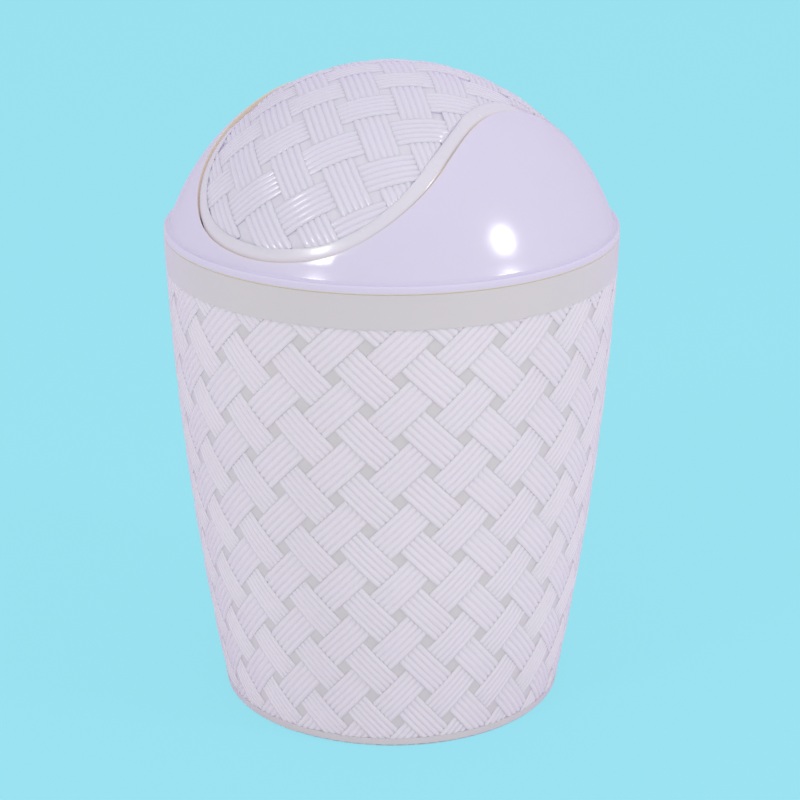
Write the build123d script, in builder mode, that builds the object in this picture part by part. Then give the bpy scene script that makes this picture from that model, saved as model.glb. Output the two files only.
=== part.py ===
from build123d import *
from math import asin, atan2, cos, degrees, hypot, radians, sin, sqrt, tan
import os

os.makedirs("parts", exist_ok=True)

# Small swing-lid bin moulded in polypropylene: a tapered bucket, a domed lid that
# plugs into its mouth and a flap that swings in the lid on two pins of its own.
# Millimetres, +Z up, origin on the floor at the middle of the bucket's foot.
# The flap's long way is Y, and its pivot axis is parallel to X.

# Bucket wall. The crest line is the line that the woven strands reach.
foot_radius = 75.2
foot_band_height = 4.0
foot_edge_round = 1.3
crest_top_radius = 97.0
crest_top_height = 195.9
crest_bulge = 3.55
strand_relief = 1.0
wall = 2.0

# Bucket floor and rim
floor_recess = 2.0
floor_thickness = 2.0
floor_corner_round = 5.0
foot_ring_width = 4.5
foot_ring_draft = 0.5
rim_height = 210.6
rim_radius = 97.4
rim_chamfer = 0.4

# Dome of the lid, part of a sphere
dome_radius = 100.5
dome_centre_height = 181.3
dome_wall = 2.2

# Flange that rests on the bucket's rim, and the plug ring inside the mouth
flange_radius = 97.3
flange_height = 3.2
flange_chamfer = 0.6
flange_fillet = 1.8
plug_radius = 93.8
plug_inner_radius = 92.0
plug_depth = 7.0
plug_lead = 0.7

# Flap in plan: half of its length, half of its width at the lobes and at the waist
flap_nose = 92.8
flap_nose_round = 71.6
flap_side = 55.0
flap_lobe_round = 46.1
flap_waist = 51.0
flank_angle = 6.84
flap_gap = 1.2
flap_drop = 0.8
flap_wall = 1.8
flap_rim_depth = 4.6
flap_rim_width = 2.0

# Woven field of the flap inside a plain border. Its surface is the level that the strands
# reach, and a groove as deep as they are high parts it from the border.
field_nose = 90.2
field_nose_round = 64.7
field_side = 49.9
field_lobe_round = 41.2
field_waist = 45.4
field_groove = 1.0

# Pins, the flap's lugs that carry them and the lid's brackets that hold them
pivot_height = 260.5
pin_diameter = 6.0
pin_hole_diameter = 6.6
pin_end_chamfer = 0.5
pin_end_play = 0.4
lug_inner = 47.3
lug_outer = 50.8
lug_round = 6.0
bracket_inner = 52.4
bracket_thickness = 3.2
bracket_round = 7.0

# Lip that stiffens the edge of the lid's opening from inside
lip_width = 2.0
lip_depth = 4.0

# Radii of the flap's surfaces about the dome's centre
dome_centre = (0, 0, dome_centre_height)
flap_radius = dome_radius - flap_drop
field_radius = flap_radius - strand_relief
flap_inner_radius = field_radius - flap_wall
inner_dome_radius = dome_radius - dome_wall

# Heights between which solids that trim the dome are drawn
trim_bottom = 190.0
trim_top = 290.0
edge_match = 0.01


def dome_height(along, across):
    return dome_centre_height + sqrt(dome_radius**2 - along**2 - across**2)


# The flap's outline has a nose arc, a lobe arc that touches it from inside, a straight
# flank and a waist arc. The lobe's centre and the waist's radius follow from that.
def lobe_centre(nose, nose_round, side, lobe_round):
    across = side - lobe_round
    along = nose - nose_round + sqrt((nose_round - lobe_round) ** 2 - across**2)
    return along, across


def waist_radius(centre, lobe_round, waist):
    flank = radians(flank_angle)
    touch_along = centre[0] - lobe_round * sin(flank)
    touch_across = centre[1] + lobe_round * cos(flank)
    flank_start = touch_across - touch_along * tan(flank)
    return (waist - flank_start) / (1 / cos(flank) - 1)


def arc_point(centre, radius, angle):
    return (
        centre[0] + radius * cos(radians(angle)),
        centre[1] + radius * sin(radians(angle)),
    )


# A quarter of the outline as arcs and a line, across on X and along on Y
def outline_face(nose, nose_round, side, lobe_round, waist):
    along, across = lobe_centre(nose, nose_round, side, lobe_round)
    join = degrees(atan2(across, along - nose + nose_round))
    waist_round = waist_radius((along, across), lobe_round, waist)
    lobe_end = arc_point((across, along), lobe_round, -flank_angle)
    with BuildSketch() as plan:
        with BuildLine():
            CenterArc((0, nose - nose_round), nose_round, 90 - join, join)
            CenterArc((across, along), lobe_round, -flank_angle, 90 - join + flank_angle)
            CenterArc((waist + waist_round, 0), waist_round, 180 - flank_angle, flank_angle)
            Line(lobe_end, arc_point((waist + waist_round, 0), waist_round, 180 - flank_angle))
            mirror(about=Plane.YZ)
            mirror(about=Plane.XZ)
        make_face()
    return plan.sketch


# The woven field's outline moved in by an inset
def field_plan(inset):
    return outline_face(
        field_nose - inset,
        field_nose_round - inset,
        field_side - inset,
        field_lobe_round - inset,
        field_waist - inset,
    )


# The flap's ends and the opening's ends lean the way the flap's ends move when it
# swings, so that the gap stays even: a plan is stretched along Y with its height.
nose_height = dome_height(flap_nose, 0)
swing_lean = (pivot_height - nose_height) / flap_nose**2


def stretch(height):
    return 1 + swing_lean * (height - nose_height)


# Points of a quarter of the flap's outline, nose to waist, brought to the nose's height
def flap_quarter():
    centre = lobe_centre(flap_nose, flap_nose_round, flap_side, flap_lobe_round)
    nose_centre = (flap_nose - flap_nose_round, 0)
    join = degrees(atan2(centre[1], centre[0] - nose_centre[0]))
    waist_round = waist_radius(centre, flap_lobe_round, flap_waist)
    waist_centre = (0, flap_waist + waist_round)
    lobe_turn = 90 + flank_angle - join
    outline = [arc_point(nose_centre, flap_nose_round, join * i / 3) for i in range(3)]
    outline += [arc_point(centre, flap_lobe_round, join + lobe_turn * i / 6) for i in range(7)]
    outline += [arc_point(waist_centre, waist_round, 270 + flank_angle * i / 2) for i in (2, 1, 0)]
    return [(along / stretch(dome_height(along, across)), across) for along, across in outline]


# The same quarter moved out by an even clearance and stretched for a height
def grown_quarter(clearance, height):
    base = flap_quarter()
    first = (base[1][0], -base[1][1])
    last = (-base[-2][0], base[-2][1])
    grown = []
    for before, point, after in zip([first] + base, base, base[1:] + [last]):
        step_along, step_across = after[0] - before[0], after[1] - before[1]
        step = hypot(step_along, step_across)
        along = point[0] + clearance * step_across / step
        across = point[1] - clearance * step_along / step
        grown.append((across, along * stretch(height)))
    return grown


def grown_outline(clearance, height):
    quarter = grown_quarter(clearance, height)
    half = quarter + [(across, -along) for across, along in quarter[-2::-1]]
    return half + [(-across, along) for across, along in half[-2:0:-1]]


# Column whose cross-sections are the flap's outline, grown by a clearance
def flap_column(clearance):
    with BuildPart() as column:
        for height in (trim_bottom, trim_top):
            with BuildSketch(Plane.XY.offset(height)):
                with BuildLine():
                    Spline(grown_outline(clearance, height), periodic=True)
                make_face()
        loft(ruled=True)
    return column.part


def dome_shell(outer_radius, inner_radius):
    with BuildPart() as shell:
        with Locations(dome_centre):
            Sphere(outer_radius)
            Sphere(inner_radius, mode=Mode.SUBTRACT)
    return shell.part


# Plate that hangs from the dome's inside to the pivot, rounded about it, on both sides
def hanging_plate(near, thickness, end_round, top_radius):
    with BuildPart() as plate:
        with BuildSketch(Plane.YZ.offset(near)):
            with Locations((0, pivot_height)):
                Circle(end_round)
                Rectangle(2 * end_round, trim_top - pivot_height, align=(Align.CENTER, Align.MIN))
        extrude(amount=thickness)
        with Locations(dome_centre):
            Sphere(top_radius, mode=Mode.INTERSECT)
        mirror(about=Plane.YZ)
    return plate.part


# Circular edges of a turned piece at a height, smallest first
def circles_at(piece, height):
    circles = piece.edges().filter_by(GeomType.CIRCLE)
    level = circles.filter_by(lambda edge: abs(edge.center().Z - height) < edge_match)
    return level.sort_by(SortBy.RADIUS)


# Bucket
def crest_radius(height):
    fall = (crest_top_height - height) / crest_top_height
    straight = crest_top_radius - (crest_top_radius - foot_radius) * fall
    return straight + 4 * crest_bulge * fall * (1 - fall)


def ground_radius(height):
    return crest_radius(height) - strand_relief


def inside_radius(height):
    return ground_radius(height) - wall


floor_top = floor_recess + floor_thickness
wall_middle = crest_top_height / 2
foot_ring_inside = foot_radius - foot_ring_width
rim_chamfer_start = rim_height - rim_chamfer

with BuildPart() as bin_body:
    with BuildSketch(Plane.XZ):
        with BuildLine():
            Polyline(
                (0, floor_recess),
                (foot_ring_inside - foot_ring_draft, floor_recess),
                (foot_ring_inside, 0),
                (foot_radius, 0),
                (crest_radius(foot_band_height), foot_band_height),
                (ground_radius(foot_band_height), foot_band_height),
            )
            ThreePointArc(
                (ground_radius(foot_band_height), foot_band_height),
                (ground_radius(wall_middle), wall_middle),
                (ground_radius(crest_top_height), crest_top_height),
            )
            Polyline(
                (ground_radius(crest_top_height), crest_top_height),
                (crest_top_radius, crest_top_height),
                (rim_radius, rim_chamfer_start),
                (rim_radius - rim_chamfer, rim_height),
                (inside_radius(rim_height) + rim_chamfer, rim_height),
                (inside_radius(rim_chamfer_start), rim_chamfer_start),
            )
            ThreePointArc(
                (inside_radius(rim_chamfer_start), rim_chamfer_start),
                (inside_radius(wall_middle), wall_middle),
                (inside_radius(floor_top), floor_top),
            )
            Polyline(
                (inside_radius(floor_top), floor_top),
                (0, floor_top),
                (0, floor_recess),
            )
        make_face()
    revolve(axis=Axis.Z)
    foot_edges = bin_body.edges().filter_by(GeomType.CIRCLE).group_by(Axis.Z)[0]
    fillet(foot_edges.sort_by(SortBy.RADIUS)[-1], radius=foot_edge_round)
    fillet(circles_at(bin_body, floor_top)[0], radius=floor_corner_round)

bin_body.part.label = "bin_body"

# Lid: dome, flange and plug ring turned in one profile
flange_top = rim_height + flange_height
flange_root_angle = degrees(asin((flange_top - dome_centre_height) / dome_radius))
flange_root = arc_point((0, dome_centre_height), dome_radius, flange_root_angle)
plug_bottom = rim_height - plug_depth
plug_top = dome_centre_height + sqrt(inner_dome_radius**2 - plug_inner_radius**2)
plug_top_angle = degrees(asin((plug_top - dome_centre_height) / inner_dome_radius))

with BuildPart() as lid_dome:
    with BuildSketch(Plane.XZ):
        with BuildLine():
            CenterArc((0, dome_centre_height), dome_radius, flange_root_angle, 90 - flange_root_angle)
            Polyline(
                flange_root,
                (flange_radius - flange_chamfer, flange_top),
                (flange_radius, flange_top - flange_chamfer),
                (flange_radius, rim_height),
                (plug_radius, rim_height),
                (plug_radius - plug_lead, plug_bottom),
                (plug_inner_radius, plug_bottom),
                (plug_inner_radius, plug_top),
            )
            CenterArc((0, dome_centre_height), inner_dome_radius, plug_top_angle, 90 - plug_top_angle)
            Line(
                (0, dome_centre_height + inner_dome_radius),
                (0, dome_centre_height + dome_radius),
            )
        make_face()
    revolve(axis=Axis.Z)
    fillet(circles_at(lid_dome, flange_top)[0], radius=flange_fillet)

# Lip under the opening's edge
with BuildPart() as opening_lip:
    add(flap_column(flap_gap + lip_width))
    add(dome_shell(dome_radius - dome_wall / 2, dome_radius - lip_depth), mode=Mode.INTERSECT)

# The opening is cut through shell and lip, then the brackets are added under the lip
with lid_dome:
    add(opening_lip.part)
    add(flap_column(flap_gap), mode=Mode.SUBTRACT)
    add(hanging_plate(bracket_inner, bracket_thickness, bracket_round, inner_dome_radius + dome_wall / 2))
    with BuildSketch(Plane.YZ):
        with Locations((0, pivot_height)):
            Circle(pin_hole_diameter / 2)
    extrude(amount=bracket_inner + bracket_thickness, both=True, mode=Mode.SUBTRACT)

lid_dome.part.label = "lid_dome"

# Flap: shell, groove round the woven field, rim round the edge
with BuildPart() as field_cut:
    with BuildSketch(Plane.XY.offset(trim_bottom)):
        add(field_plan(0))
        add(field_plan(field_groove), mode=Mode.SUBTRACT)
    extrude(amount=trim_top - trim_bottom)
    with Locations(dome_centre):
        Sphere(field_radius, mode=Mode.SUBTRACT)

with BuildPart() as flap_hollow:
    add(flap_column(-flap_rim_width))
    with Locations(dome_centre):
        Sphere(flap_inner_radius, mode=Mode.INTERSECT)

with BuildPart() as flap_pins:
    with BuildSketch(Plane.YZ.offset(lug_inner)):
        with Locations((0, pivot_height)):
            Circle(pin_diameter / 2)
    extrude(amount=bracket_inner + bracket_thickness - pin_end_play - lug_inner)
    chamfer(flap_pins.edges().group_by(Axis.X)[-1], length=pin_end_chamfer)
    mirror(about=Plane.YZ)

with BuildPart() as swing_flap:
    add(flap_column(0))
    add(dome_shell(flap_radius, flap_radius - flap_rim_depth), mode=Mode.INTERSECT)
    add(flap_hollow.part, mode=Mode.SUBTRACT)
    add(field_cut.part, mode=Mode.SUBTRACT)
    add(hanging_plate(lug_inner, lug_outer - lug_inner, lug_round, field_radius))
    add(flap_pins.part)

swing_flap.part.label = "swing_flap"

for piece in (bin_body, lid_dome, swing_flap):
    export_step(piece.part, f"parts/{piece.part.label}.step")
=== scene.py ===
from math import atan2, cos, degrees, hypot, pi, radians, sin, sqrt, tan

import bpy
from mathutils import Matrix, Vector


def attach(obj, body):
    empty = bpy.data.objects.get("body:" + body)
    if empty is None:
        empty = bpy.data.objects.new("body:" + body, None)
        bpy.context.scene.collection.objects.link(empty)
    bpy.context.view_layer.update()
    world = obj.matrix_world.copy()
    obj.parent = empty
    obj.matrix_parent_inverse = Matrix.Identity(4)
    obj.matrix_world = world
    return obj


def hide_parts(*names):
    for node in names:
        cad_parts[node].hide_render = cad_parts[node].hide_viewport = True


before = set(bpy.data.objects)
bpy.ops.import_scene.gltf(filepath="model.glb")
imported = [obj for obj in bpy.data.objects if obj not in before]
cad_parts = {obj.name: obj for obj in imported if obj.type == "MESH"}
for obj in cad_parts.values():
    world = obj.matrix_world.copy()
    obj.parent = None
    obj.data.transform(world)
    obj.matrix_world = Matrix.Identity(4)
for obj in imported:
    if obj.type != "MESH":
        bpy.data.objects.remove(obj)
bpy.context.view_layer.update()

# Pieces are given in millimetres, and the camera, finish and studio in metres
mm = 0.001
mergeDistance = 0.000002


def deselectAll():
    if bpy.context.object and bpy.context.object.mode == "EDIT":
        bpy.ops.object.mode_set(mode="OBJECT")
    bpy.ops.object.select_all(action="DESELECT")


def pick(piece):
    deselectAll()
    piece.select_set(True)
    bpy.context.view_layer.objects.active = piece


# Camera, at the photograph's angle
camera = {"azimuth": 36.0, "elevation": 20.989, "distance": 1.0458, "aimHeight": 0.1149,
          "lens": 106.178, "shiftX": 0.01019, "shiftY": 0.04363}

around, above = radians(camera["azimuth"]), radians(camera["elevation"])
reach = camera["distance"] * cos(above)
eyeHeight = camera["aimHeight"] + camera["distance"] * sin(above)
bpy.ops.object.camera_add(location=(reach * sin(around), -reach * cos(around), eyeHeight),
                          rotation=(pi / 2 - above, 0, around))
photoCamera = bpy.context.object
photoCamera.data.lens = camera["lens"]
photoCamera.data.shift_x = camera["shiftX"]
photoCamera.data.shift_y = camera["shiftY"]
bpy.context.scene.camera = photoCamera
print("camera placed")

# Finish that every plastic shares: clouds, scuffs and orange peel, and the painted shade and painted glow of
# seam and gap
finish = {"cloudDetail": 4, "scuffScale": 90, "scuffSpread": 0.12, "grainScale": 420, "grainDepth": 0.0002,
          "seamHeight": 0.2106, "seamHalfWidth": 0.0003, "gapShadeColour": (0.70, 0.635, 0.53), "gapPaintedGlow": 0.22,
          "coat": 0.35, "coatRoughness": 0.12, "sheen": 0.5, "sheenTint": (0.62, 0.48, 1.0),
          "subsurface": 0.3, "subsurfaceRadius": (0.003, 0.0025, 0.003), "subsurfaceScale": 1.0}


def makeMoulding():
    group = bpy.data.node_groups.new("mouldedPlastic", "ShaderNodeTree")
    for name, kind, way in (("Pale", "Color", "INPUT"), ("Deep", "Color", "INPUT"),
                            ("Gap Shade", "Color", "INPUT"), ("Seam Height", "Float", "INPUT"),
                            ("Cloud Scale", "Float", "INPUT"), ("Gloss", "Float", "INPUT"),
                            ("Peel", "Float", "INPUT"), ("Color", "Color", "OUTPUT"),
                            ("Painted Glow", "Color", "OUTPUT"), ("Roughness", "Float", "OUTPUT"),
                            ("Normal", "Vector", "OUTPUT")):
        group.interface.new_socket(name=name, in_out=way, socket_type="NodeSocket" + kind)
    nodes, link = group.nodes, group.links.new
    given, out = nodes.new("NodeGroupInput"), nodes.new("NodeGroupOutput")
    place = nodes.new("ShaderNodeTexCoord")
    clouds, scuffs, grain = (nodes.new("ShaderNodeTexNoise") for _ in range(3))
    clouds.inputs["Detail"].default_value = finish["cloudDetail"]
    scuffs.inputs["Scale"].default_value = finish["scuffScale"]
    grain.inputs["Scale"].default_value = finish["grainScale"]
    for texture in (clouds, scuffs, grain):
        link(place.outputs["Object"], texture.inputs["Vector"])
    blend, shadeBlend, paintedGlow = (nodes.new("ShaderNodeMix") for _ in range(3))
    for mix in (blend, shadeBlend, paintedGlow):
        mix.data_type = "RGBA"

    # Clouds between the pale and the deep tone
    link(given.outputs["Cloud Scale"], clouds.inputs["Scale"])
    link(clouds.outputs["Fac"], blend.inputs["Factor"])
    link(given.outputs["Pale"], blend.inputs["A"])
    link(given.outputs["Deep"], blend.inputs["B"])

    # Painted shade, a tan tone for the shade and the warm light through the plastic, in a thin band at the
    # seam and on the marked gap faces, which also get a little painted glow
    heights = nodes.new("ShaderNodeSeparateXYZ")
    seam = nodes.new("ShaderNodeMath")
    seam.operation = "COMPARE"
    seam.inputs[2].default_value = finish["seamHalfWidth"]
    gapFaces = nodes.new("ShaderNodeAttribute")
    gapFaces.attribute_name = "paintedGapShade"
    shadeMask = nodes.new("ShaderNodeMath")
    shadeMask.operation = "MAXIMUM"
    link(place.outputs["Object"], heights.inputs["Vector"])
    link(heights.outputs["Z"], seam.inputs[0])
    link(given.outputs["Seam Height"], seam.inputs[1])
    link(seam.outputs[0], shadeMask.inputs[0])
    link(gapFaces.outputs["Fac"], shadeMask.inputs[1])
    link(shadeMask.outputs[0], shadeBlend.inputs["Factor"])
    link(blend.outputs["Result"], shadeBlend.inputs["A"])
    link(given.outputs["Gap Shade"], shadeBlend.inputs["B"])
    link(shadeBlend.outputs["Result"], out.inputs["Color"])
    paintedGlow.inputs["A"].default_value = (0, 0, 0, 1)
    link(gapFaces.outputs["Fac"], paintedGlow.inputs["Factor"])
    link(given.outputs["Gap Shade"], paintedGlow.inputs["B"])
    link(paintedGlow.outputs["Result"], out.inputs["Painted Glow"])

    # Scuffs spread the gloss, and the grain is the orange peel
    spread = nodes.new("ShaderNodeMath")
    spread.operation = "MULTIPLY_ADD"
    spread.inputs[1].default_value = finish["scuffSpread"]
    link(scuffs.outputs["Fac"], spread.inputs[0])
    link(given.outputs["Gloss"], spread.inputs[2])
    link(spread.outputs[0], out.inputs["Roughness"])
    bump = nodes.new("ShaderNodeBump")
    bump.inputs["Distance"].default_value = finish["grainDepth"]
    link(grain.outputs["Fac"], bump.inputs["Height"])
    link(given.outputs["Peel"], bump.inputs["Strength"])
    link(bump.outputs["Normal"], out.inputs["Normal"])
    return group


moulding = makeMoulding()


def pearlPlastic(name, pale, deep, gloss, peel, cloudScale):
    material = bpy.data.materials.new(name)
    material.use_nodes = True
    tree = material.node_tree
    shader = tree.nodes["Principled BSDF"]
    surface = tree.nodes.new("ShaderNodeGroup")
    surface.node_tree = moulding
    for socket, value in (("Pale", (*pale, 1)), ("Deep", (*deep, 1)), ("Gap Shade", (*finish["gapShadeColour"], 1)),
                          ("Seam Height", finish["seamHeight"]), ("Gloss", gloss), ("Peel", peel),
                          ("Cloud Scale", cloudScale)):
        surface.inputs[socket].default_value = value
    # The base colour carries the seam's and gap's painted shade, and the emission carries the gap's painted
    # glow
    for source, target in (("Color", "Base Color"), ("Roughness", "Roughness"), ("Normal", "Normal"),
                           ("Painted Glow", "Emission Color")):
        tree.links.new(surface.outputs[source], shader.inputs[target])
    shader.inputs["Emission Strength"].default_value = finish["gapPaintedGlow"]
    shader.inputs["Coat Weight"].default_value = finish["coat"]
    shader.inputs["Coat Roughness"].default_value = finish["coatRoughness"]
    shader.inputs["Sheen Weight"].default_value = finish["sheen"]
    shader.inputs["Sheen Tint"].default_value = (*finish["sheenTint"], 1)
    shader.inputs["Subsurface Weight"].default_value = finish["subsurface"]
    shader.inputs["Subsurface Radius"].default_value = finish["subsurfaceRadius"]
    shader.inputs["Subsurface Scale"].default_value = finish["subsurfaceScale"]
    return material


bucketPlastic = pearlPlastic("bucketPlastic", pale=(0.685, 0.66, 0.68), deep=(0.63, 0.608, 0.64),
                             gloss=0.26, peel=0.04, cloudScale=16)
# The wall's strands are the bucket's plastic painted lighter: a painted highlight for the light their ribs
# catch
paintedHighlightStrandPlastic = pearlPlastic("paintedHighlightStrandPlastic", pale=(0.82, 0.78, 0.86), deep=(0.75, 0.71, 0.79),
                             gloss=0.18, peel=0.02, cloudScale=16)
lidPlastic = pearlPlastic("lidPlastic", pale=(0.72, 0.68, 0.86), deep=(0.67, 0.63, 0.80),
                          gloss=0.12, peel=0.02, cloudScale=14)
flapPlastic = pearlPlastic("flapPlastic", pale=(0.76, 0.73, 0.82), deep=(0.70, 0.675, 0.77),
                           gloss=0.2, peel=0.02, cloudScale=18)
flapStrandPlastic = pearlPlastic("flapStrandPlastic", pale=(0.77, 0.735, 0.85), deep=(0.71, 0.68, 0.79),
                                 gloss=0.14, peel=0.015, cloudScale=18)
for node, material in (("bin_body", bucketPlastic), ("lid_dome", lidPlastic), ("swing_flap", flapPlastic)):
    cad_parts[node].data.materials.clear()
    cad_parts[node].data.materials.append(material)
print("materials made")

# One woven patch: five ribs side by side, arched along their length, on a skirt that sinks into the wall
patch = {"length": 24.3, "width": 13.75, "ribs": 5, "height": 1.0, "groove": 0.52, "grooveShare": 0.02,
         "ribFullness": 1.25, "endDrop": 0.5, "endCurve": 2.5, "skirt": 1.2, "columns": 3, "rows": 3,
         "smoothAngle": 48}


def makePatch():
    steps = patch["ribs"] * patch["columns"]
    deselectAll()
    bpy.ops.mesh.primitive_grid_add(x_subdivisions=patch["rows"] + 1, y_subdivisions=steps, size=1)
    made = bpy.context.object
    made.name = "wovenPatch"
    for vertex in made.data.vertices:
        along, across = vertex.co.x, vertex.co.y
        ribPlace = ((across + 0.5) * patch["ribs"]) % 1
        onRib = patch["grooveShare"] < ribPlace < 1 - patch["grooveShare"]
        crown = min(1, sin(pi * ribPlace) * patch["ribFullness"]) if onRib else 0
        arch = 1 - patch["endDrop"] * (2 * abs(along)) ** patch["endCurve"]
        height = patch["height"] * arch - patch["groove"] * (1 - crown)
        vertex.co = (along * patch["length"], across * patch["width"], height)
    pick(made)
    bpy.ops.object.mode_set(mode="EDIT")
    bpy.ops.mesh.select_all(action="SELECT")
    bpy.ops.mesh.region_to_loop()
    bpy.ops.mesh.extrude_region_move(TRANSFORM_OT_translate={"value": (0, 0, -patch["skirt"])})
    bpy.ops.mesh.edge_face_add()
    bpy.ops.mesh.select_all(action="SELECT")
    bpy.ops.mesh.normals_make_consistent(inside=False)
    bpy.ops.object.mode_set(mode="OBJECT")
    return made


wovenPatch = makePatch()


# A patch lies at 45 degrees, to one side (lean 1) or the other (lean -1)
def leanPatch(along, across, lean):
    return (along - lean * across) * sqrt(0.5), (across + lean * along) * sqrt(0.5)


# A patch that lies wholly outside the cutter is left with no vertices
def trimTo(piece, cutter):
    pick(piece)
    trim = piece.modifiers.new("trimToField", "BOOLEAN")
    trim.operation = "INTERSECT"
    trim.solver = "EXACT"
    trim.object = cutter
    bpy.ops.object.modifier_apply(modifier=trim.name)
    return len(piece.data.vertices) > 0


def layPatches(name, sites, wrap, cutter=None):
    copies = []
    for site in sites:
        copy = wovenPatch.copy()
        copy.data = wovenPatch.data.copy()
        for vertex in copy.data.vertices:
            vertex.co = wrap(site, *vertex.co)
        bpy.context.scene.collection.objects.link(copy)
        if cutter and not trimTo(copy, cutter):
            bpy.data.objects.remove(copy)
            continue
        copies.append(copy)
    deselectAll()
    for copy in copies:
        copy.select_set(True)
    bpy.context.view_layer.objects.active = copies[0]
    bpy.ops.object.join()
    woven = bpy.context.object
    woven.name = name
    woven.data.name = name
    return woven


def finishWeave(woven, material, body):
    woven.data.materials.clear()
    woven.data.materials.append(material)
    pick(woven)
    bpy.ops.object.shade_smooth_by_angle(angle=radians(patch["smoothAngle"]))
    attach(woven, body)


# Weave on the bucket's wall, between the foot band and the collar
wall = {"columns": 22, "rows": 8, "rise": 27.0, "firstTurn": 46.25, "firstHeight": 12.5,
        "footRadius": 75.2, "topRadius": 97.0, "topHeight": 195.9, "bulge": 3.55,
        "relief": 1.0, "footBand": 4.0, "trimOverlap": 0.2}


def groundRadius(height):
    fall = (wall["topHeight"] - height) / wall["topHeight"]
    straight = wall["topRadius"] - (wall["topRadius"] - wall["footRadius"]) * fall
    return straight + 4 * wall["bulge"] * fall * (1 - fall) - wall["relief"]


def wrapOnWall(site, along, across, out):
    turn, height, lean = site
    sideways, upward = leanPatch(along, across, lean)
    angle = radians(turn) + sideways / wall["rise"] * 2 * pi / wall["columns"]
    level = height + upward
    radius = groundRadius(level) + out
    return (radius * sin(angle) * mm, -radius * cos(angle) * mm, level * mm)


wallSites = []
for column in range(wall["columns"]):
    for row in range(wall["rows"]):
        turn = wall["firstTurn"] + column * 360 / wall["columns"]
        height = wall["firstHeight"] + row * wall["rise"]
        wallSites.append((turn, height, -1))
        wallSites.append((turn + 180 / wall["columns"], height - wall["rise"] / 2, 1))
wallWeave = layPatches("wallWeave", wallSites, wrapOnWall)
pick(wallWeave)
bpy.ops.object.mode_set(mode="EDIT")
bpy.ops.mesh.select_all(action="SELECT")
bpy.ops.mesh.bisect(plane_co=(0, 0, (wall["topHeight"] + wall["trimOverlap"]) * mm), plane_no=(0, 0, 1),
                    use_fill=True, clear_outer=True)
bpy.ops.mesh.select_all(action="SELECT")
bpy.ops.mesh.bisect(plane_co=(0, 0, (wall["footBand"] - wall["trimOverlap"]) * mm), plane_no=(0, 0, 1),
                    use_fill=True, clear_inner=True)
bpy.ops.object.mode_set(mode="OBJECT")
finishWeave(wallWeave, paintedHighlightStrandPlastic, "bin")
print("wall weave made", len(wallSites), "patches")

# Flap: a lofted shell with rounded edges, its lugs and pins. Radii are from the dome's centre
flap = {"centreHeight": 181.3, "domeRadius": 100.5, "skinRadius": 99.7, "groundRadius": 98.7,
        "innerRadius": 96.9, "rimRadius": 95.1, "rimWidth": 2.0, "flank": 6.84, "edgeRound": 0.7,
        "fieldRound": 0.35, "pivotHeight": 260.5, "smoothAngle": 40}
flapPlan = {"nose": 92.8, "noseRound": 71.6, "side": 55.0, "lobeRound": 46.1, "waist": 51.0}
fieldPlan = {"nose": 90.2, "noseRound": 64.7, "side": 49.9, "lobeRound": 41.2, "waist": 45.4}
planSteps = {"nose": 8, "lobe": 22, "waist": 10}
ringSteps = {"centre": 10, "edgeTurns": (0, 22.5, 45, 67.5, 90), "borderShares": (0.33, 0.67),
             "fieldTurns": (0, 30, 60, 90)}
lug = {"round": 6.0, "near": 47.3, "far": 50.8, "sides": 48, "sink": 0.9, "bevel": 0.3, "level": 0.01,
       "pinRound": 3.0, "pinRoot": 1.0, "pinEnd": 55.2, "pinBevel": 0.5, "bevelSegments": 3, "bevelAngle": 50}
gapMark = {"steepest": 0.75, "reach": 1.7, "skinMargin": 0.3, "lipDepth": 4}


def arcPoints(centre, radius, start, end, count):
    turns = [radians(start + (end - start) * i / count) for i in range(count)]
    return [(centre[0] + radius * cos(t), centre[1] + radius * sin(t)) for t in turns]


# An outline, (along, across), one quarter mirrored twice and moved in by an inset
def planOutline(plan, inset):
    nose, noseRound, side, lobeRound, waist = (value - inset for value in plan.values())
    noseCentre = nose - noseRound
    lobeAcross = side - lobeRound
    lobeAlong = noseCentre + sqrt((noseRound - lobeRound) ** 2 - lobeAcross**2)
    join = degrees(atan2(lobeAcross, lobeAlong - noseCentre))
    flank = radians(flap["flank"])
    touchAlong = lobeAlong - lobeRound * sin(flank)
    touchAcross = lobeAcross + lobeRound * cos(flank)
    waistRound = (waist - touchAcross + touchAlong * tan(flank)) / (1 / cos(flank) - 1)
    quarter = arcPoints((noseCentre, 0), noseRound, 0, join, planSteps["nose"])
    quarter += arcPoints((lobeAlong, lobeAcross), lobeRound, join, 90 + flap["flank"], planSteps["lobe"])
    quarter += arcPoints((0, waist + waistRound), waistRound, 270 + flap["flank"], 270, planSteps["waist"])
    quarter.append((0, waist))
    half = quarter + [(-a, c) for a, c in quarter[-2::-1]]
    return half + [(a, -c) for a, c in half[-2:0:-1]]


def domeHeight(radius, along, across):
    return flap["centreHeight"] + sqrt(radius**2 - along**2 - across**2)


# The edges lean the way the ends move when the flap swings
noseHeight = domeHeight(flap["domeRadius"], flapPlan["nose"], 0)
swingLean = (flap["pivotHeight"] - noseHeight) / flapPlan["nose"] ** 2


def leanAt(height):
    return 1 + swingLean * (height - noseHeight)


# Where the leaned edge under a place in plan meets a sphere: a quadratic in the height
def leanedPoint(along, across, radius):
    plain = along / leanAt(domeHeight(flap["domeRadius"], along, across))
    atCentre = leanAt(flap["centreHeight"])
    square, middle = 1 + (plain * swingLean) ** 2, plain**2 * atCentre * swingLean
    rest = (plain * atCentre) ** 2 + across**2 - radius**2
    height = flap["centreHeight"] + (sqrt(middle**2 - square * rest) - middle) / square
    return (across * mm, plain * leanAt(height) * mm, height * mm)


def leanedRing(inset, radius, share=1):
    return [leanedPoint(a * share, c * share, radius) for a, c in planOutline(flapPlan, inset)]


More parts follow.
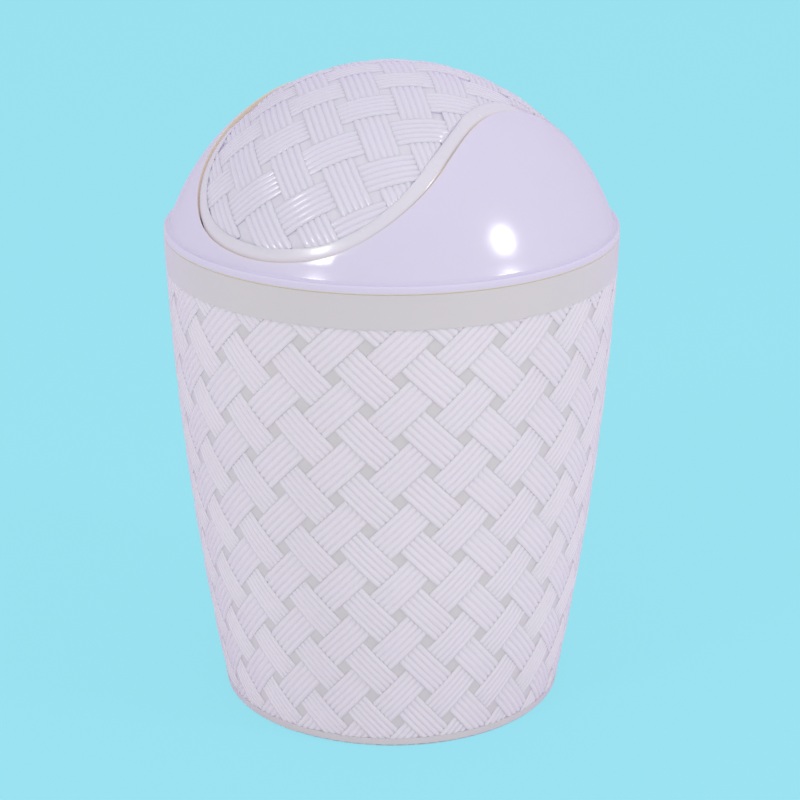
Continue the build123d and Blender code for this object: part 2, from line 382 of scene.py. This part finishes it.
def plumbRing(inset, radius, share=1):
    return [(c * share * mm, a * share * mm, domeHeight(radius, a * share, c * share) * mm)
            for a, c in planOutline(fieldPlan, inset)]


def betweenRings(first, second, share):
    mixed = []
    for (x, y, _), (u, v, _) in zip(first, second):
        across, along = (x + (u - x) * share) / mm, (y + (v - y) * share) / mm
        mixed.append((across * mm, along * mm, domeHeight(flap["skinRadius"], along, across) * mm))
    return mixed


# From the middle of the inside, round the rim and the outer edge, to the middle of the field
def shellRings():
    skin, ground, inner = flap["skinRadius"], flap["groundRadius"], flap["innerRadius"]
    edge, step, centre = flap["edgeRound"], flap["fieldRound"], ringSteps["centre"]
    rings = [leanedRing(flap["rimWidth"], inner, share / centre) for share in range(centre + 1)]
    rings += [leanedRing(flap["rimWidth"], flap["rimRadius"]), leanedRing(0, flap["rimRadius"])]
    for turn in ringSteps["edgeTurns"]:
        rings.append(leanedRing(edge * (1 - cos(radians(turn))), skin - edge * (1 - sin(radians(turn)))))
    border = plumbRing(-step, skin)
    rings += [betweenRings(rings[-1], border, share) for share in ringSteps["borderShares"]]
    for turn in ringSteps["fieldTurns"]:
        rings.append(plumbRing(-step * (1 - sin(radians(turn))), skin - step * (1 - cos(radians(turn)))))
    rings += [plumbRing(0, ground, share / centre) for share in range(centre, -1, -1)]
    return rings


# A grid whose rows are closed rings, joined at the seam and at the two poles
def loftRings(name, rings):
    rows, columns = len(rings) - 1, len(rings[0])
    deselectAll()
    bpy.ops.mesh.primitive_grid_add(x_subdivisions=rows, y_subdivisions=columns, size=1)
    lofted = bpy.context.object
    lofted.name = name
    lofted.data.name = name
    for vertex in lofted.data.vertices:
        row, column = round((vertex.co.x + 0.5) * rows), round((vertex.co.y + 0.5) * columns)
        vertex.co = rings[row][column % columns]
    pick(lofted)
    bpy.ops.object.mode_set(mode="EDIT")
    bpy.ops.mesh.select_all(action="SELECT")
    bpy.ops.mesh.remove_doubles(threshold=mergeDistance)
    bpy.ops.mesh.normals_make_consistent(inside=False)
    bpy.ops.object.mode_set(mode="OBJECT")
    return lofted


def addRound(name, radius, near, far):
    deselectAll()
    bpy.ops.mesh.primitive_cylinder_add(vertices=lug["sides"], radius=radius * mm, depth=(far - near) * mm,
                                        location=((near + far) / 2 * mm, 0, flap["pivotHeight"] * mm),
                                        rotation=(0, pi / 2, 0))
    bpy.ops.object.transform_apply(location=True, rotation=True, scale=True)
    made = bpy.context.object
    made.name = name
    made.data.name = name
    return made


def roundEnds(piece, width):
    pick(piece)
    bevel = piece.modifiers.new("roundEnds", "BEVEL")
    bevel.width = width * mm
    bevel.segments = lug["bevelSegments"]
    bevel.limit_method = "ANGLE"
    bevel.angle_limit = radians(lug["bevelAngle"])
    bpy.ops.object.modifier_apply(modifier=bevel.name)


# The upper half of each lug is drawn up into the shell
def makeLugs():
    made = []
    for side in (1, -1):
        plate = addRound("lugPlate", lug["round"], lug["near"], lug["far"])
        for vertex in plate.data.vertices:
            x, y, z = (value / mm for value in vertex.co)
            if z > flap["pivotHeight"] + lug["level"]:
                vertex.co.z = domeHeight(flap["innerRadius"] + lug["sink"], y, x) * mm
        roundEnds(plate, lug["bevel"])
        pin = addRound("lugPin", lug["pinRound"], lug["far"] - lug["pinRoot"], lug["pinEnd"])
        roundEnds(pin, lug["pinBevel"])
        for piece in (plate, pin):
            for vertex in piece.data.vertices:
                vertex.co.x, vertex.co.y = side * vertex.co.x, side * vertex.co.y
            made.append(piece)
    return made


# Distance in plan to the nearest stretch of a closed outline
def outlineDistance(spot, outline):
    distances = []
    for start, end in zip(outline, outline[1:] + outline[:1]):
        run = end - start
        share = min(1, max(0, (spot - start).dot(run) / run.length_squared))
        distances.append((spot - start - run * share).length)
    return min(distances)


# Faces that stand along the flap's outline, grown by a clearance, take the gap's painted shade and painted
# glow
def markGapFaces(piece, clearance, lowest, highest):
    outline = [Vector((c, a / leanAt(domeHeight(flap["domeRadius"], a, c)), 0))
               for a, c in planOutline(flapPlan, -clearance)]
    shadeMark = piece.data.attributes.new("paintedGapShade", "FLOAT", "FACE")
    for face in piece.data.polygons:
        middle = face.center / mm
        outward = middle - Vector((0, 0, flap["centreHeight"]))
        upright = abs(face.normal.dot(outward.normalized())) < gapMark["steepest"]
        inside = lowest < outward.length < highest
        plain = Vector((middle.x, middle.y / leanAt(middle.z), 0))
        if upright and inside and outlineDistance(plain, outline) < gapMark["reach"]:
            shadeMark.data[face.index].value = 1


flapShell = loftRings("flapShell", shellRings())
deselectAll()
for piece in makeLugs():
    piece.select_set(True)
flapShell.select_set(True)
bpy.context.view_layer.objects.active = flapShell
bpy.ops.object.join()
# The flap's edge walls take the gap's tan painted shade and painted glow
markGapFaces(flapShell, 0, flap["rimRadius"], flap["skinRadius"] - gapMark["skinMargin"])
flapShell.data.materials.append(flapPlastic)
pick(flapShell)
bpy.ops.object.shade_smooth_by_angle(angle=radians(flap["smoothAngle"]))
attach(flapShell, "flap")
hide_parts("swing_flap")
print("flap shell made", len(flapShell.data.polygons), "faces")

# Lid: the moulding's own mesh, merged, with the opening's outer edge rounded
lidEdge = {"round": 0.6, "segments": 3, "sharp": 35, "reach": 0.05, "gap": 1.2, "smoothAngle": 30}


def facesBesideEdges(mesh):
    beside = {}
    for face in mesh.polygons:
        for key in face.edge_keys:
            beside.setdefault(key, []).append(face)
    return beside


def selectOpeningEdge(piece):
    beside = facesBesideEdges(piece.data)
    centre = Vector((0, 0, flap["centreHeight"] * mm))
    sharp = radians(lidEdge["sharp"])
    for edge in piece.data.edges:
        faces = beside[edge.key]
        ends = [(piece.data.vertices[i].co - centre).length / mm for i in edge.vertices]
        onSkin = all(abs(end - flap["domeRadius"]) < lidEdge["reach"] for end in ends)
        edge.select = onSkin and len(faces) == 2 and faces[0].normal.angle(faces[1].normal) > sharp


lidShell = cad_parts["lid_dome"].copy()
lidShell.data = lidShell.data.copy()
lidShell.name = "lidShell"
lidShell.data.name = "lidShell"
bpy.context.scene.collection.objects.link(lidShell)
pick(lidShell)
bpy.ops.object.mode_set(mode="EDIT")
bpy.ops.mesh.select_mode(type="EDGE")
bpy.ops.mesh.select_all(action="SELECT")
bpy.ops.mesh.remove_doubles(threshold=mergeDistance)
bpy.ops.mesh.customdata_custom_splitnormals_clear()
bpy.ops.mesh.select_all(action="DESELECT")
bpy.ops.object.mode_set(mode="OBJECT")
selectOpeningEdge(lidShell)
print("lid edge has", sum(edge.select for edge in lidShell.data.edges), "edges")
bpy.ops.object.mode_set(mode="EDIT")
bpy.ops.mesh.bevel(offset=lidEdge["round"] * mm, segments=lidEdge["segments"], affect="EDGES",
                   clamp_overlap=True)
bpy.ops.object.mode_set(mode="OBJECT")
# The walls of the lid's opening take the gap's tan painted shade and painted glow
markGapFaces(lidShell, lidEdge["gap"], flap["domeRadius"] - gapMark["lipDepth"],
             flap["domeRadius"] - gapMark["skinMargin"])
bpy.ops.object.shade_smooth_by_angle(angle=radians(lidEdge["smoothAngle"]))
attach(lidShell, "lid")
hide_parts("lid_dome")
print("lid shell made")

# Weave in the flap's field, each patch trimmed to the field's outline
fieldWeave = {"alongPitch": 27.1, "acrossPitch": 26.3, "alongShift": -1.5, "acrossShift": 1.6,
              "alongCount": 4, "acrossCount": 3, "farthest": 118, "widest": 68,
              "cutterFoot": 0.19, "cutterDepth": 0.11}


def wrapOnFlap(site, along, across, out):
    alongArc, acrossArc, lean = site
    alongRun, acrossRun = leanPatch(along, across, lean)
    radius = flap["groundRadius"] + out
    east, north = (alongArc + alongRun) / flap["skinRadius"], (acrossArc + acrossRun) / flap["skinRadius"]
    return (radius * sin(north) * mm, -radius * cos(north) * sin(east) * mm,
            (flap["centreHeight"] + radius * cos(north) * cos(east)) * mm)


fieldEdge = planOutline(fieldPlan, 0)
flapSites = []
for i in range(-fieldWeave["alongCount"], fieldWeave["alongCount"] + 1):
    for j in range(-fieldWeave["acrossCount"], fieldWeave["acrossCount"] + 1):
        for half, lean in ((0, 1), (0.5, -1)):
            alongArc = fieldWeave["alongShift"] + (i + half) * fieldWeave["alongPitch"]
            acrossArc = fieldWeave["acrossShift"] + (j + half) * fieldWeave["acrossPitch"]
            if hypot(alongArc, acrossArc) < fieldWeave["farthest"] and abs(acrossArc) < fieldWeave["widest"]:
                flapSites.append((alongArc, acrossArc, lean))

deselectAll()
bpy.ops.mesh.primitive_circle_add(vertices=len(fieldEdge), radius=1, fill_type="NGON")
fieldCutter = bpy.context.object
for vertex, (along, across) in zip(fieldCutter.data.vertices, fieldEdge):
    vertex.co = (across * mm, -along * mm, fieldWeave["cutterFoot"])
bpy.ops.object.mode_set(mode="EDIT")
bpy.ops.mesh.select_all(action="SELECT")
bpy.ops.mesh.extrude_region_move(TRANSFORM_OT_translate={"value": (0, 0, fieldWeave["cutterDepth"])})
bpy.ops.mesh.select_all(action="SELECT")
bpy.ops.mesh.normals_make_consistent(inside=False)
bpy.ops.object.mode_set(mode="OBJECT")
flapWeave = layPatches("flapWeave", flapSites, wrapOnFlap, fieldCutter)
finishWeave(flapWeave, flapStrandPlastic, "flap")
bpy.data.objects.remove(fieldCutter)
bpy.data.objects.remove(wovenPatch)
print("flap weave made", len(flapWeave.data.polygons), "faces")

# Floor, light and background
studio = {"background": (0.328, 0.776, 0.896), "floorSize": 8.0, "floorBounce": (0.88, 0.88, 0.89),
          "floorRoughness": 0.9, "floorGlow": 0.86, "worldLight": 0.76, "lampAim": 0.15}

deselectAll()
bpy.ops.mesh.primitive_plane_add(size=studio["floorSize"], location=(0, 0, 0))
floor = bpy.context.object
floor.name = "floor"
floorPaint = bpy.data.materials.new("floorPaint")
floorPaint.use_nodes = True
floorNodes, floorLink = floorPaint.node_tree.nodes, floorPaint.node_tree.links.new
floorShader = floorNodes["Principled BSDF"]
floorShader.inputs["Roughness"].default_value = studio["floorRoughness"]
seen = floorNodes.new("ShaderNodeLightPath")

# The camera sees the background's colour, and the object is lit by a plain pale floor
floorTone = floorNodes.new("ShaderNodeMix")
floorTone.data_type = "RGBA"
floorTone.inputs["A"].default_value = (*studio["floorBounce"], 1)
floorTone.inputs["B"].default_value = (*studio["background"], 1)
floorLink(seen.outputs["Is Camera Ray"], floorTone.inputs["Factor"])
floorLink(floorTone.outputs["Result"], floorShader.inputs["Base Color"])
floorGlow = floorNodes.new("ShaderNodeEmission")
floorGlow.inputs["Color"].default_value = (*studio["background"], 1)
glowShare = floorNodes.new("ShaderNodeMath")
glowShare.operation = "MULTIPLY"
glowShare.inputs[1].default_value = studio["floorGlow"]
floorMix = floorNodes.new("ShaderNodeMixShader")
floorLink(seen.outputs["Is Camera Ray"], glowShare.inputs[0])
floorLink(glowShare.outputs[0], floorMix.inputs["Fac"])
floorLink(floorShader.outputs["BSDF"], floorMix.inputs[1])
floorLink(floorGlow.outputs["Emission"], floorMix.inputs[2])
floorLink(floorMix.outputs["Shader"], floorNodes["Material Output"].inputs["Surface"])
floor.data.materials.append(floorPaint)

world = bpy.data.worlds.new("studio")
bpy.context.scene.world = world
world.use_nodes = True
worldNodes, worldLink = world.node_tree.nodes, world.node_tree.links.new
ambient = worldNodes["Background"]
ambient.inputs["Color"].default_value = (1, 1, 1, 1)
ambient.inputs["Strength"].default_value = studio["worldLight"]
backdrop = worldNodes.new("ShaderNodeBackground")
backdrop.inputs["Color"].default_value = (*studio["background"], 1)
pathKind = worldNodes.new("ShaderNodeLightPath")
choose = worldNodes.new("ShaderNodeMixShader")
worldLink(pathKind.outputs["Is Camera Ray"], choose.inputs["Fac"])
worldLink(ambient.outputs["Background"], choose.inputs[1])
worldLink(backdrop.outputs["Background"], choose.inputs[2])
worldLink(choose.outputs["Shader"], worldNodes["World Output"].inputs["Surface"])


def softbox(name, azimuth, elevation, distance, size, power):
    turn, rise = radians(azimuth), radians(elevation)
    flat = distance * cos(rise)
    place = (flat * sin(turn), -flat * cos(turn), studio["lampAim"] + distance * sin(rise))
    bpy.ops.object.light_add(type="AREA", location=place, rotation=(pi / 2 - rise, 0, turn))
    lamp = bpy.context.object
    lamp.name = name
    lamp.data.shape = "DISK"
    lamp.data.size = size
    lamp.data.energy = power


softbox("rightSoftbox", azimuth=99.7, elevation=30.9, distance=1.70, size=0.36, power=5)
softbox("leftSoftbox", azimuth=-4.7, elevation=34.5, distance=1.71, size=0.3, power=4)
bpy.context.scene.view_settings.view_transform = "Standard"
print("studio set")
